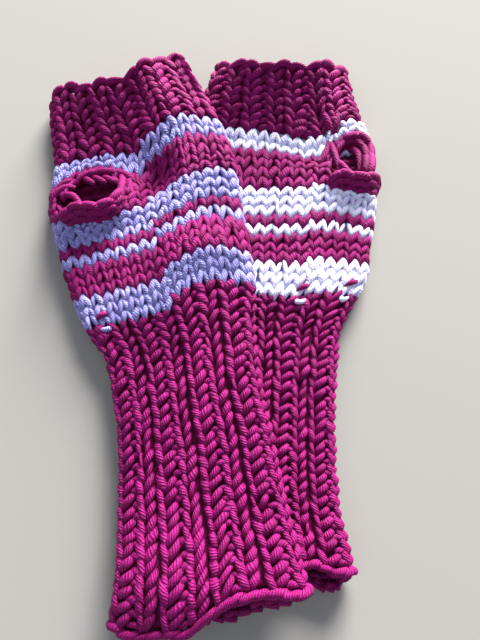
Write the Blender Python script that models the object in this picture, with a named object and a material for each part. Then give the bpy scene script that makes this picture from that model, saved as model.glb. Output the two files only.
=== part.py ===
"""A pair of hand-knitted fingerless mitts, laid flat, the left one lying partly on the right one.

Each mitt is knitted in one round of 32 stitches from the cuff up: a corded cast-on edge, a long
cuff in knit 2, purl 2 rib, a plain hand with a thumb slit between two corded lips, a short top rib
and a scalloped bind-off edge. Laid flat, the round is a tube of two straight panels joined by two
round folds.

A mitt has its own directions: across (to its right), along (from the hem to the fingers) and up.
Metres, +Z up, fingers towards +Y, origin in the middle of the footprint.
"""

import math
from collections import namedtuple

import bmesh
import bpy
from mathutils import Vector

MM = 0.001

# Driving sizes of the knitting.
RIB_REPEATS = 8  # knit 2, purl 2, eight times: 32 stitches in the round
POINTS_PER_REPEAT = 6
RING_POINTS = RIB_REPEATS * POINTS_PER_REPEAT
FIRST_KNIT_POINT = -1  # ring point where the first pair of knit columns starts
WALL = 3.0 * MM
RIB_RAISE = 1.3 * MM  # a pair of knit columns over the purl columns beside it
SEAM_GAP = 0.3 * MM
EDGE_CORD = 3.8 * MM  # thickness of the corded cast-on and bind-off edges
SCALLOP = 1.8 * MM  # how far the bind-off edge rises over each rib
LIP_CORD_LOW = 4.4 * MM
LIP_CORD_HIGH = 4.0 * MM
CORD_SIDES = 6
LIP_POINTS = 13
LIP_START = 0.13  # share of the slit's width left free at each end of its lips
LIP_FILL = 0.42  # most of the slit's half opening that a lip's radius takes
SLIT_ROUNDNESS = 0.7  # 1 opens the slit as a sine arch, and less makes its ends blunter
CUFF_LEVELS = 10
RIB_LEVELS = 4
HAND_LEVELS_BELOW_SLIT = 6
HAND_LEVELS_ABOVE_SLIT = 3
HEM_FADE = 50 * MM  # the hem's waves die out this far up the cuff
SHARP_ANGLE = math.radians(50)
ROUGHNESS = 0.75

# How the left mitt lies over the right one.
COVER_GAP = 0.5 * MM
COVER_REACH = 18 * MM  # the upper mitt comes down to the table this far from the lower one

# A row for each section across a mitt, in millimetres: how far along from the hem, how far the
# outline lies to the left and right of the axis, and how thick the folded tube is.
Section = namedtuple("Section", "along left right height")
# A row for each place along a mitt, in millimetres: how far the rows of stitches arch towards the
# fingers, and how far the front panel stands up at its crown.
Drape = namedtuple("Drape", "along arch crown")
# A row for each place across the hem, from the left fold (-1) to the right fold (1): how far the
# front and the back of the hem reach past their line, in millimetres.
Hem = namedtuple("Hem", "across front back")
# A slit for the thumb: how far along, the first and last ring points, and how far it opens.
Slit = namedtuple("Slit", "along first last open_low open_high reach")
Mitt = namedtuple(
    "Mitt",
    "name hem_x hem_y tilt sections drapes arch_at arch_width crown_at crown_width hem slit"
    " cuff_end hand_end rib_end contrast",
)

CRIMSON = (0.38, 0.012, 0.125)
LAVENDER = (0.32, 0.29, 0.64)
WHITE = (0.83, 0.81, 0.89)

LEFT = Mitt(
    name="left",
    hem_x=-9.6 * MM,
    hem_y=-99.3 * MM,
    tilt=math.radians(11.4),
    sections=[
        Section(0, 33.0, 32.5, 9.0),
        Section(9, 30.3, 31.6, 8.6),
        Section(20, 27.2, 31.0, 7.8),
        Section(36, 24.7, 30.5, 7.4),
        Section(53, 22.4, 30.9, 7.2),
        Section(70, 21.2, 30.6, 7.2),
        Section(89, 22.7, 33.0, 7.2),
        Section(100, 27.3, 35.5, 7.2),
        Section(114, 31.0, 36.6, 7.2),
        Section(131, 33.7, 37.2, 7.2),
        Section(155, 35.6, 38.3, 7.6),
        Section(166, 32.2, 37.3, 7.4),
        Section(180, 31.0, 34.3, 7.4),
        Section(193, 30.4, 30.4, 8.4),
        Section(206, 29.0, 26.4, 9.8),
    ],
    drapes=[
        Drape(0, 0.0, 0.2),
        Drape(60, 0.5, 0.6),
        Drape(95, 2.5, 1.0),
        Drape(115, 5.0, 1.6),
        Drape(150, 5.5, 1.8),
        Drape(175, 5.5, 1.6),
        Drape(206, 4.0, 0.0),
    ],
    arch_at=17 * MM,
    arch_width=17 * MM,
    crown_at=-14 * MM,
    crown_width=18 * MM,
    hem=[
        Hem(-1.0, -0.5, 0.0),
        Hem(-0.6, 3.4, 1.0),
        Hem(-0.3, 4.6, 2.0),
        Hem(0.05, 1.0, 2.5),
        Hem(0.3, -3.0, 2.0),
        Hem(0.6, -1.5, 1.5),
        Hem(1.0, 0.0, 0.0),
    ],
    slit=Slit(155 * MM, 27, 35, 8.0 * MM, 8.0 * MM, 15 * MM),
    cuff_end=103.8 * MM,
    hand_end=173.0 * MM,
    rib_end=201.6 * MM,
    contrast=LAVENDER,
)

RIGHT = Mitt(
    name="right",
    hem_x=7.6 * MM,
    hem_y=-90.4 * MM,
    tilt=math.radians(-3.1),
    sections=[
        Section(0, 29.0, 30.0, 9.0),
        Section(10, 27.0, 28.1, 8.4),
        Section(21, 25.2, 25.3, 7.4),
        Section(36, 24.2, 23.6, 7.2),
        Section(55, 24.0, 23.0, 7.2),
        Section(74, 24.5, 23.6, 7.2),
        Section(86, 26.2, 25.0, 7.2),
        Section(97, 30.0, 29.8, 7.2),
        Section(107, 33.0, 34.4, 7.2),
        Section(118, 34.6, 35.6, 7.2),
        Section(131, 35.6, 37.6, 7.2),
        Section(147, 36.0, 38.6, 7.6),
        Section(163, 35.2, 36.6, 7.6),
        Section(175, 34.0, 33.6, 7.6),
        Section(187, 32.0, 29.6, 8.2),
        Section(200, 28.0, 26.3, 9.8),
    ],
    drapes=[
        Drape(0, 0.0, 0.0),
        Drape(95, 0.0, 0.4),
        Drape(115, 1.5, 1.6),
        Drape(150, 1.0, 1.8),
        Drape(175, 1.0, 1.4),
        Drape(200, 1.5, 0.0),
    ],
    arch_at=20 * MM,
    arch_width=14 * MM,
    crown_at=8 * MM,
    crown_width=20 * MM,
    hem=[
        Hem(-1.0, 0.0, 0.0),
        Hem(0.0, 0.5, 0.5),
        Hem(0.4, -4.0, 1.0),
        Hem(0.75, -3.0, 2.0),
        Hem(1.0, -3.5, 0.0),
    ],
    slit=Slit(153 * MM, 12, 20, 7.2 * MM, 8.0 * MM, 13 * MM),
    cuff_end=99.3 * MM,
    hand_end=167.3 * MM,
    rib_end=195.6 * MM,
    contrast=WHITE,
)


def smoothstep(value):
    value = min(max(value, 0.0), 1.0)
    return value * value * (3 - 2 * value)


def bump(value, middle, half_width):
    """1 at the middle, falling smoothly to 0 at the half width on each side."""
    return smoothstep(1 - abs(value - middle) / half_width)


def read_table(rows, key, column, place):
    """A smooth curve through a column of a table, read at a place along its key column."""
    keys = [getattr(row, key) for row in rows]
    values = [getattr(row, column) for row in rows]
    place = min(max(place, keys[0]), keys[-1])
    step = max(i for i in range(len(keys) - 1) if keys[i] <= place)
    slopes = []
    for i in (step, step + 1):
        before, after = max(i - 1, 0), min(i + 1, len(keys) - 1)
        slopes.append((values[after] - values[before]) / (keys[after] - keys[before]))
    span = keys[step + 1] - keys[step]
    t = (place - keys[step]) / span
    return (
        values[step] * (2 * t**3 - 3 * t**2 + 1)
        + slopes[0] * span * (t**3 - 2 * t**2 + t)
        + values[step + 1] * (3 * t**2 - 2 * t**3)
        + slopes[1] * span * (t**3 - t**2)
    )


def section(mitt, column, along):
    return read_table(mitt.sections, "along", column, along / MM) * MM


def fold_ring(mitt, turn, along, inset):
    """A point of the folded tube as (across, up, how far it faces up).

    The turn runs from 0 in the middle of the underside, over the right fold at 0.25, the middle of
    the front at 0.5 and the left fold at 0.75. The inset is the depth under the plain outer face.
    """
    left = section(mitt, "left", along)
    right = section(mitt, "right", along)
    radius = section(mitt, "height", along) / 2
    middle = (right - left) / 2
    straight = left + right - 2 * radius
    arc = math.pi * radius
    way = (turn % 1) * 2 * (straight + arc)
    if way < straight / 2:
        return middle + way, inset, -1.0
    way -= straight / 2
    if way < arc:
        angle = way / radius
        across = middle + straight / 2 + (radius - inset) * math.sin(angle)
        return across, radius - (radius - inset) * math.cos(angle), -math.cos(angle)
    way -= arc
    if way < straight:
        return middle + straight / 2 - way, 2 * radius - inset, 1.0
    way -= straight
    if way < arc:
        angle = way / radius
        across = middle - straight / 2 - (radius - inset) * math.sin(angle)
        return across, radius + (radius - inset) * math.cos(angle), math.cos(angle)
    return middle - straight / 2 + way - arc, inset, -1.0


def to_table(mitt, across, along):
    """The place on the table, as (x, y), of a point of a mitt."""
    cos, sin = math.cos(mitt.tilt), math.sin(mitt.tilt)
    return mitt.hem_x + across * cos - along * sin, mitt.hem_y + across * sin + along * cos


def cover_height(x, y):
    """How far the right mitt and the slope beside it lift what lies over them."""
    cos, sin = math.cos(RIGHT.tilt), math.sin(RIGHT.tilt)
    east, north = x - RIGHT.hem_x, y - RIGHT.hem_y
    across, along = east * cos + north * sin, north * cos - east * sin
    top = RIGHT.rib_end + EDGE_CORD
    level = min(max(along, 0.0), top)
    beside = max(-section(RIGHT, "left", level) - across, across - section(RIGHT, "right", level), 0.0)
    beyond = max(-along, along - top, 0.0)
    height = section(RIGHT, "height", level) + RIB_RAISE + COVER_GAP
    return height * smoothstep(1 - math.hypot(beside, beyond) / COVER_REACH)


def hem_reach(mitt, across, along, facing_up):
    """How far the wavy hem pulls a point towards it, fading out a quarter of the way up."""
    left, right = section(mitt, "left", along), section(mitt, "right", along)
    place = (2 * across + left - right) / (left + right)
    front = read_table(mitt.hem, "across", "front", place)
    back = read_table(mitt.hem, "across", "back", place)
    share = smoothstep((facing_up + 1) / 2)
    return (front * share + back * (1 - share)) * MM * smoothstep(1 - along / HEM_FADE)


def knit_point(mitt, turn, along, inset):
    """The place in the object's frame of a point given in the knitting's own sizes."""
    across, up, facing_up = fold_ring(mitt, turn, along, inset)
    crown = read_table(mitt.drapes, "along", "crown", along / MM) * MM
    up += crown * bump(across, mitt.crown_at, mitt.crown_width) * max(facing_up, 0.0) ** 2
    arch = read_table(mitt.drapes, "along", "arch", along / MM) * MM
    reach = hem_reach(mitt, across, along, facing_up)
    along += arch * bump(across, mitt.arch_at, mitt.arch_width) - reach
    x, y = to_table(mitt, across, along)
    if mitt is LEFT:
        up += cover_height(x, y)
    return Vector((x, y, up))


def slit_opening(slit, ring_index):
    """How open the slit is at a ring point: 0 at its ends and 1 at its middle."""
    if not slit.first < ring_index < slit.last:
        return 0.0
    return math.sin(math.pi * (ring_index - slit.first) / (slit.last - slit.first)) ** SLIT_ROUNDNESS


def part_the_slit(slit, ring_index, along, above):
    """Moves a point of the hand away from the opened slit."""
    distance = abs(along - slit.along)
    share = slit_opening(slit, ring_index) * max(1 - distance / slit.reach, 0.0)
    return along + share * (slit.open_high if above else -slit.open_low)


def rib_raise(ring_index, facing_up):
    """The two knit columns of each repeat stand up, apart from the underside, which lies flat."""
    on_knit = (ring_index - FIRST_KNIT_POINT) % POINTS_PER_REPEAT < POINTS_PER_REPEAT / 2
    return RIB_RAISE * smoothstep(2 * facing_up + 1) if on_knit else 0.0


def paint(obj, name, color):
    """Gives an object its own yarn material."""
    material = bpy.data.materials.new(name)
    material.use_nodes = True
    shader = material.node_tree.nodes["Principled BSDF"]
    shader.inputs["Base Color"].default_value = (*color, 1)
    shader.inputs["Roughness"].default_value = ROUGHNESS
    shader.inputs["Metallic"].default_value = 0
    material.diffuse_color = (*color, 1)
    obj.data.materials.append(material)


def finish(name, mesh_builder, color):
    """Turns a bmesh into a named, smoothly shaded object with its material."""
    bmesh.ops.recalc_face_normals(mesh_builder, faces=mesh_builder.faces)
    mesh = bpy.data.meshes.new(name)
    mesh_builder.to_mesh(mesh)
    mesh_builder.free()
    mesh.shade_smooth()
    mesh.set_sharp_from_angle(angle=SHARP_ANGLE)
    obj = bpy.data.objects.new(name, mesh)
    bpy.context.scene.collection.objects.link(obj)
    paint(obj, name + "_yarn", color)
    return obj


def skin(mesh_builder, rings):
    """Joins each ring of points to the next with four-sided faces."""
    for ring, following in zip(rings, rings[1:]):
        for i, corner in enumerate(ring):
            after = (i + 1) % len(ring)
            face = (corner, ring[after], following[after], following[i])
            if len(set(face)) == 4:
                mesh_builder.faces.new(face)


def knit_ring(mesh_builder, mitt, along, depth, ribbed, above_slit=None, shared=None):
    """One ring of points round the tube. Outside the slit it may share another ring's points."""
    ring = []
    for index in range(RING_POINTS):
        turn = index / RING_POINTS
        if shared and slit_opening(mitt.slit, index) == 0:
            ring.append(shared[index])
            continue
        level = along
        if above_slit is not None:
            level = part_the_slit(mitt.slit, index, along, above_slit)
        out = 0.0
        if ribbed and depth == 0:
            out = rib_raise(index, fold_ring(mitt, turn, level, 0)[2])
        ring.append(mesh_builder.verts.new(knit_point(mitt, turn, level, depth - out)))
    return ring


def even_steps(start, end, count):
    return [start + (end - start) * i / count for i in range(count + 1)]


def ribbed_tube(mitt, name, start, end, levels):
    """A tube of knit 2, purl 2 rib with a plain inside."""
    mesh_builder = bmesh.new()
    steps = even_steps(start, end, levels)
    outside = [knit_ring(mesh_builder, mitt, along, 0, True) for along in steps]
    inside = [knit_ring(mesh_builder, mitt, along, WALL, True) for along in steps]
    skin(mesh_builder, [*outside, *reversed(inside), outside[0]])
    return finish(f"{mitt.name}_{name}", mesh_builder, CRIMSON)


def slit_hand(mitt, start, end):
    """The plain tube of the hand, with the thumb slit parted in its wall."""
    mesh_builder = bmesh.new()
    slit = mitt.slit
    below = even_steps(start, slit.along, HAND_LEVELS_BELOW_SLIT)
    above = even_steps(end, slit.along, HAND_LEVELS_ABOVE_SLIT)[:-1]
    layers = []
    for depth in (0, WALL):
        low = [knit_ring(mesh_builder, mitt, along, depth, False, False) for along in below]
        high = [knit_ring(mesh_builder, mitt, along, depth, False, True) for along in above]
        high.append(knit_ring(mesh_builder, mitt, slit.along, depth, False, True, low[-1]))
        skin(mesh_builder, low)
        skin(mesh_builder, high)
        layers.append((low, high))
    (low_out, high_out), (low_in, high_in) = layers
    skin(mesh_builder, [low_out[0], low_in[0]])
    skin(mesh_builder, [high_out[0], high_in[0]])
    for outer, inner in ((low_out[-1], low_in[-1]), (high_out[-1], high_in[-1])):
        for i in range(slit.first, slit.last):
            mesh_builder.faces.new((outer[i], outer[i + 1], inner[i + 1], inner[i]))
    return finish(f"{mitt.name}_hand", mesh_builder, mitt.contrast)


def cord_ring(mesh_builder, mitt, turn, along, inset, radius):
    """A ring of points round a cord that runs round the tube."""
    ring = []
    for side in range(CORD_SIDES):
        angle = 2 * math.pi * (side + 0.5) / CORD_SIDES
        level = along + radius * math.cos(angle)
        ring.append(mesh_builder.verts.new(knit_point(mitt, turn, level, inset - radius * math.sin(angle))))
    return ring


def edge_cord(mitt, name, along, rise):
    """A corded edge all round an end of the tube, with one scallop over each rib repeat."""
    mesh_builder = bmesh.new()
    radius = EDGE_CORD / 2
    rings = []
    for index in range(RING_POINTS):
        turn = index / RING_POINTS
        level = along + rise * abs(math.sin(math.pi * RIB_REPEATS * turn))
        rings.append(cord_ring(mesh_builder, mitt, turn, level, radius, radius))
    skin(mesh_builder, [*rings, rings[0]])
    return finish(f"{mitt.name}_{name}", mesh_builder, CRIMSON)


def slit_lip(mitt, name, thickness, opening, side):
    """The corded lip along the lower (-1) or upper (1) edge of the thumb slit."""
    mesh_builder = bmesh.new()
    slit = mitt.slit
    rings = []
    for step in range(LIP_POINTS):
        way = LIP_START + (1 - 2 * LIP_START) * step / (LIP_POINTS - 1)
        place = slit.first + way * (slit.last - slit.first)
        before = slit_opening(slit, int(place))
        after = slit_opening(slit, int(place) + 1)
        open_here = opening * (before + (after - before) * (place % 1))
        radius = min(thickness / 2, LIP_FILL * open_here)
        level = slit.along + side * (open_here - SEAM_GAP - radius)
        turn = place / RING_POINTS
        rings.append(cord_ring(mesh_builder, mitt, turn, level, WALL / 2, radius))
    skin(mesh_builder, rings)
    mesh_builder.faces.new(rings[0])
    mesh_builder.faces.new(rings[-1])
    return finish(f"{mitt.name}_{name}", mesh_builder, CRIMSON)


def knit_mitt(mitt):
    """All the pieces of one mitt, from the cast-on edge to the fingers."""
    cuff_start = EDGE_CORD + SEAM_GAP
    bind_off = mitt.rib_end + SEAM_GAP + EDGE_CORD / 2
    return [
        edge_cord(mitt, "cast_on_edge", EDGE_CORD / 2, 0),
        ribbed_tube(mitt, "cuff", cuff_start, mitt.cuff_end, CUFF_LEVELS),
        slit_hand(mitt, mitt.cuff_end + SEAM_GAP, mitt.hand_end),
        ribbed_tube(mitt, "top_rib", mitt.hand_end + SEAM_GAP, mitt.rib_end, RIB_LEVELS),
        edge_cord(mitt, "bind_off_edge", bind_off, SCALLOP),
        slit_lip(mitt, "thumb_lower_lip", LIP_CORD_LOW, mitt.slit.open_low, -1),
        slit_lip(mitt, "thumb_upper_lip", LIP_CORD_HIGH, mitt.slit.open_high, 1),
    ]


def centre_on_footprint(objects):
    """Moves the origin to the middle of the footprint, at the table."""
    points = [vertex.co for obj in objects for vertex in obj.data.vertices]
    lows = [min(point[axis] for point in points) for axis in range(3)]
    highs = [max(point[axis] for point in points) for axis in range(3)]
    shift = Vector((-(lows[0] + highs[0]) / 2, -(lows[1] + highs[1]) / 2, -lows[2]))
    for obj in objects:
        for vertex in obj.data.vertices:
            vertex.co += shift


for old in list(bpy.data.objects):
    bpy.data.objects.remove(old)

centre_on_footprint(knit_mitt(LEFT) + knit_mitt(RIGHT))
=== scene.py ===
# %% [markdown]
# # A pair of fingerless mitts, knitted stitch by stitch
# Two hand-knitted mitts lie flat on a table, the left one partly on the right one. Each is a tube
# of 32 stitches: a long ribbed cuff, a striped hand with a slit for the thumb, and a short ribbed
# top. A bump map can't give the thick yarn its soft shadows, so here the legs of the stitches are
# modelled and laid out a few thousand times, row by row, on the form of the folded tube.

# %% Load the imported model
import math
from collections import namedtuple

import bpy
import numpy as np
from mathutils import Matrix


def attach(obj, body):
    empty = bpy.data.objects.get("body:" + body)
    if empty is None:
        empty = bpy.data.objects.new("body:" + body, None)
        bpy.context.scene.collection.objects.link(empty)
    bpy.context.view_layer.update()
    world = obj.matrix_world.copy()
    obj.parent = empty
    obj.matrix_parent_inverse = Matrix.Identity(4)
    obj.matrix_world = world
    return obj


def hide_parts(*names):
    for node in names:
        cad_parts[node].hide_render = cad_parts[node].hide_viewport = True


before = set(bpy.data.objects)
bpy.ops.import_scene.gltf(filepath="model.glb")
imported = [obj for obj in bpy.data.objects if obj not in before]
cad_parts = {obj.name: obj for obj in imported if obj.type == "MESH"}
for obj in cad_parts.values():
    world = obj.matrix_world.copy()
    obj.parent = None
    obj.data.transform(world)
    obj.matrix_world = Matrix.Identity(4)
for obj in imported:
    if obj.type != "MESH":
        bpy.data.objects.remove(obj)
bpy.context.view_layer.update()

# %% [markdown]
# ## The form of a mitt
# A mitt has its own directions: across, along from the hem to the fingers, and out from its face.
# The tables below hold its outline and drape, in millimetres, with a row for each place along it.
# The outline is the one that the solids were built from, so the stitches land on the solids. The
# spring and the swells are drape that is left to the stitches.

# %% The sizes of the left mitt
Slit = namedtuple("Slit", "along first last low high reach_down reach_up")
Swell = namedtuple("Swell", "across along reach_across reach_along height")
Mitt = namedtuple(
    "Mitt",
    "name girth hem_at tilt sections drapes arch crown hem slit rows jog climb spring sides swells",
)
LEFT = Mitt(
    name="left",
    girth=0.150,  # the way round the cloth, in metres
    hem_at=(-9.6, -99.3),
    tilt=math.radians(11.4),
    sections=[  # along, left of the axis, right of it, thickness of the folded tube
        (0, 33.0, 32.5, 9.0), (9, 30.3, 31.6, 8.6), (20, 27.2, 31.0, 7.8), (36, 24.7, 30.5, 7.4),
        (53, 22.4, 30.9, 7.2), (70, 21.2, 30.6, 7.2), (89, 22.7, 33.0, 7.2), (100, 27.3, 35.5, 7.2),
        (114, 31.0, 36.6, 7.2), (131, 33.7, 37.2, 7.2), (155, 35.6, 38.3, 7.6),
        (166, 32.2, 37.3, 7.4), (180, 31.0, 34.3, 7.4), (193, 30.4, 30.4, 8.4),
        (206, 29.0, 26.4, 9.8),
    ],
    drapes=[  # along, how far the rows arch up, how far the front stands up, where the arch is
        (0, 0.0, 0.2, 17), (60, 0.5, 0.6, 17), (95, 2.5, 1.0, 19), (115, 5.0, 1.6, 21),
        (150, 3.0, 1.8, 27), (160, 3.5, 1.8, 22), (175, 5.5, 1.6, 17), (206, 4.0, 0.0, 16),
    ],
    arch=18,  # half the width of the arch
    crown=(-14, 18),  # where across the front stands up, and half the width of that
    hem=[  # place across from -1 to 1, how far the front and the back of the hem hang down
        (-1, -0.5, 0), (-0.6, 3.4, 1), (-0.3, 4.6, 2), (0.05, 1, 2.5), (0.3, -3, 2),
        (0.6, -1.5, 1.5), (1, 0, 0),
    ],
    # where along, first and last ring place, how far its edges part, and how far the rows follow
    slit=Slit(155, 25.7, 34.2, 8.0, 7.5, 15, 15),
    rows=[  # number of the row, and where along the mitt it starts
        (-1, 0.3), (0, 4.1), (26, 103.8), (29, 116), (32, 128.3), (33, 132.4), (34, 136.4),
        (37, 148.6), (39, 155), (41, 164.8), (43, 173), (50, 201.6), (51, 205.7),
    ],
    jog=23.5,  # ring place where a round starts
    climb=1.0,  # rows by which the start and the end of a round differ
    spring=[  # along, how far the front springs up over the solid there
        (0, 0), (85, 0), (104, 1.2), (125, 0), (150, 0), (165, -0.8), (169, -0.8), (188, 4.4),
        (206, 9.6),
    ],
    sides=(24, 20),  # the front rises to that height over this width from its left and right edges
    swells=[
        Swell(-17, 150, 26, 14.5, 7.5),  # the lower lip of the slit stands up
        Swell(30, 206, 24, 46, -6.0),  # the right corner of the finger edge sinks
        Swell(12, 173, 15, 24, 5.4),  # a fold where the front climbs on the right mitt
        Swell(10, 155, 11, 13, -3.2),  # the shaded hollow beside that fold
        Swell(20, 119, 26, 14, 3.8),  # the foot of the hand bulges over the right mitt
    ],
)
print("the left mitt is", LEFT.rows[-1][1], "mm long")

# %% The sizes of the right mitt
RIGHT = Mitt(
    name="right",
    girth=0.148,
    hem_at=(7.6, -90.4),
    tilt=math.radians(-3.1),
    sections=[
        (0, 29.0, 30.0, 9.0), (10, 27.0, 28.1, 8.4), (21, 25.2, 25.3, 7.4), (36, 24.2, 23.6, 7.2),
        (55, 24.0, 23.0, 7.2), (74, 24.5, 23.6, 7.2), (86, 26.2, 25.0, 7.2), (97, 30.0, 29.8, 7.2),
        (107, 33.0, 34.4, 7.2), (118, 34.6, 35.6, 7.2), (131, 35.6, 37.6, 7.2),
        (147, 36.0, 38.6, 7.6), (163, 35.2, 36.6, 7.6), (175, 34.0, 33.6, 7.6),
        (187, 32.0, 29.6, 8.2), (200, 28.0, 26.3, 9.8),
    ],
    drapes=[
        (0, 0.0, 0.0, 20), (95, 0.0, 0.4, 20), (115, 1.0, 1.6, 20), (146, 0.5, 1.8, 18),
        (162, -4.0, 1.4, 12), (172, -4.0, 1.4, 12), (200, 1.5, 0.0, 20),
    ],
    arch=22,
    crown=(8, 20),
    hem=[(-1, 0, 0), (0, 0.5, 0.5), (0.4, -4, 1), (0.75, -3, 2), (1, -3.5, 0)],
    slit=Slit(153, 11.0, 18.6, 7.2, 11.0, 13, 44),
    rows=[
        (-1, 0.3), (0, 4.1), (26, 100.3), (29, 113.3), (32, 124.0), (33, 128.0), (34, 132.0),
        (37, 143.8), (39, 153), (41, 161.5), (43, 170.0), (50, 195.6), (51, 199.7),
    ],
    jog=20.5,
    climb=0.5,
    spring=[
        (0, 0), (82, 0), (99, 1.0), (118, 0), (150, 0), (160, -0.8), (164, -0.8), (182, 4.4),
        (200, 9.6),
    ],
    sides=(13, 13),
    swells=[Swell(32, 150, 20, 18, 5.0)],  # the lips of the slit stand up
)
print("the right mitt is", RIGHT.rows[-1][1], "mm long")

# %% How the mitts lie, and their rows and stitches
CENTRE = (12.84, -2.73)  # how far the pair was moved to centre its footprint
COVER_REACH = [  # along the right mitt, and how far beside it the left one slopes down
    (0, 34), (110, 34), (138, 17), (163, 17), (185, 36), (200, 40),
]
LAYER_GAP = 1.8  # the left mitt lies this far over the form of the right one
RIGHT_LENGTH = 199.4  # the right mitt lifts the left one up to here
HANG_REACH = 50  # the hem's hang is spread over this length of the cuff
UNDERSIDE_PRESS = 1.4  # the side that lies on the table is pressed this much flatter
SPRING_BACK, SWELL_BACK = 0.8, 0.5  # raised cloth is drawn towards the hem by these shares of it
LOWEST = 0.05  # no yarn lies lower than this
STITCHES = 32  # in a round
REPEATS = 8  # of knit 2, purl 2 in a round
RING = 48  # places round a tube
RING_PER_RIB, RING_PER_STITCH = RING / REPEATS, RING / STITCHES
ROWS = 50
CUFF_ROWS, HAND_ROWS, TOP_ROWS = range(26), range(26, 43), range(43, ROWS)
STRIPES = [(26, 29), (32, 33), (34, 37), (41, 43)]  # first row and the row after the last
SLIT_ROW = 39  # the first row above the slit
print("round of each mitt:", STITCHES, "stitches, in", REPEATS, "repeats of the rib")

# %% Soft steps, bumps and curves through a table
def smoothstep(value):
    value = np.clip(value, 0.0, 1.0)
    return value * value * (3 - 2 * value)


def bump(value, middle, half_width):
    return smoothstep(1 - np.abs(value - middle) / half_width)


def read_table(rows, column, place):
    """A smooth curve through one column of a table, read at many places at once."""
    rows = np.array(rows, float)
    keys, values = rows[:, 0], rows[:, column]
    number = np.arange(len(keys))
    before, after = np.maximum(number - 1, 0), np.minimum(number + 1, len(keys) - 1)
    slopes = (values[after] - values[before]) / (keys[after] - keys[before])
    place = np.clip(place, keys[0], keys[-1])
    step = np.clip(np.searchsorted(keys, place, side="right") - 1, 0, len(keys) - 2)
    span = keys[step + 1] - keys[step]
    t = (place - keys[step]) / span
    return (
        values[step] * (2 * t**3 - 3 * t**2 + 1)
        + slopes[step] * span * (t**3 - 2 * t**2 + t)
        + values[step + 1] * (3 * t**2 - 2 * t**3)
        + slopes[step + 1] * span * (t**3 - t**2)
    )

# %% From a place in the knitting to a point in space
def fold_ring(mitt, turn, along, out):
    """Across and up of points of the flattened tube. A turn runs round it from its underside."""
    left, right, height = (read_table(mitt.sections, column, along) for column in (1, 2, 3))
    radius = height / 2
    straight = left + right - 2 * radius
    arc = math.pi * radius
    turn = (turn + 0.5) % 1 - 0.5
    way = np.abs(turn) * 2 * (straight + arc)
    angle = np.clip((way - straight / 2) / radius, 0, math.pi)
    facing_up = -np.cos(angle)
    out = out - UNDERSIDE_PRESS * (1 - smoothstep(2 * facing_up + 1))
    flat = np.where(angle <= 0, way, np.where(angle < math.pi, straight / 2, straight + arc - way))
    across = (right - left) / 2 + np.sign(turn) * (flat + (radius + out) * np.sin(angle))
    return across, radius + (radius + out) * facing_up, facing_up


def cover_height(x, y):
    """How far the right mitt, and the slope beside it, lift what lies over them."""
    cos, sin = math.cos(RIGHT.tilt), math.sin(RIGHT.tilt)
    east, north = x - RIGHT.hem_at[0], y - RIGHT.hem_at[1]
    across, along = east * cos + north * sin, north * cos - east * sin
    level = np.clip(along, 0, RIGHT_LENGTH)
    left, right, height = (read_table(RIGHT.sections, column, level) for column in (1, 2, 3))
    beside = np.maximum(np.maximum(-left - across, across - right), 0)
    beyond = np.maximum(np.maximum(-along, along - RIGHT_LENGTH), 0)
    reach = read_table(COVER_REACH, 1, along)
    return (height + LAYER_GAP) * smoothstep(1 - np.hypot(beside, beyond) / reach)


def swell_height(swell, across, along):
    """A soft ridge or hollow of the front, where something pushes the cloth up or lets it sink."""
    beside = bump(across, swell.across, swell.reach_across)
    return swell.height * beside * bump(along, swell.along, swell.reach_along)


def knit_points(mitt, turn, along, out):
    """Points in millimetres, in the frame of the model, of places in the knitting."""
    across, up, facing_up = fold_ring(mitt, turn, along, out)
    front = np.maximum(facing_up, 0) ** 2
    left, right = read_table(mitt.sections, 1, along), read_table(mitt.sections, 2, along)
    left_rise = smoothstep((across + left) / mitt.sides[0])
    right_rise = smoothstep((right - across) / mitt.sides[1])
    spring = read_table(mitt.spring, 1, along) * front * left_rise * right_rise
    up = up + spring + read_table(mitt.drapes, 2, along) * bump(across, *mitt.crown) * front
    swelling = sum(swell_height(swell, across, along) for swell in mitt.swells) * front
    up = up + swelling
    place = (2 * across + left - right) / (left + right)
    front = smoothstep((facing_up + 1) / 2)
    hang = read_table(mitt.hem, 1, place) * front + read_table(mitt.hem, 2, place) * (1 - front)
    arch_at = read_table(mitt.drapes, 3, along)
    level = along + read_table(mitt.drapes, 1, along) * bump(across, arch_at, mitt.arch)
    level = level - hang * smoothstep(1 - along / HANG_REACH)
    level = level - SPRING_BACK * np.maximum(spring, 0) - SWELL_BACK * swelling
    cos, sin = math.cos(mitt.tilt), math.sin(mitt.tilt)
    x = mitt.hem_at[0] + across * cos - level * sin
    y = mitt.hem_at[1] + across * sin + level * cos
    if mitt is LEFT:
        up = up + cover_height(x, y)
    return np.stack([x + CENTRE[0], y + CENTRE[1], np.maximum(up, LOWEST)], axis=-1)


folds = knit_points(LEFT, np.array([0.25, 0.5, 0.75]), np.full(3, 100.0), 0.0)
print("right fold, front and left fold of the left cuff's end:", folds.round(1).tolist())

# %% [markdown]
# ## Rows, columns and the thumb slit
# Knitting in the round climbs like a screw thread, so where a new colour starts there is a step of
# one row. The mitts show that step on their fronts. The thumb slit is a gap in the rows: the rows
# below it are pulled down and the rows above it are pushed up.

# %% Where a stitch of the knitting lies
HEM_LEVEL_ROWS, TOP_LEVEL_ROWS = 8, 6  # the climb sets in over so many rows from each edge


def row_place(mitt, row):
    """Where along the mitt a row lies, also for a part of a row."""
    rows = np.array(mitt.rows)
    return np.interp(row, rows[:, 0], rows[:, 1])


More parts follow.
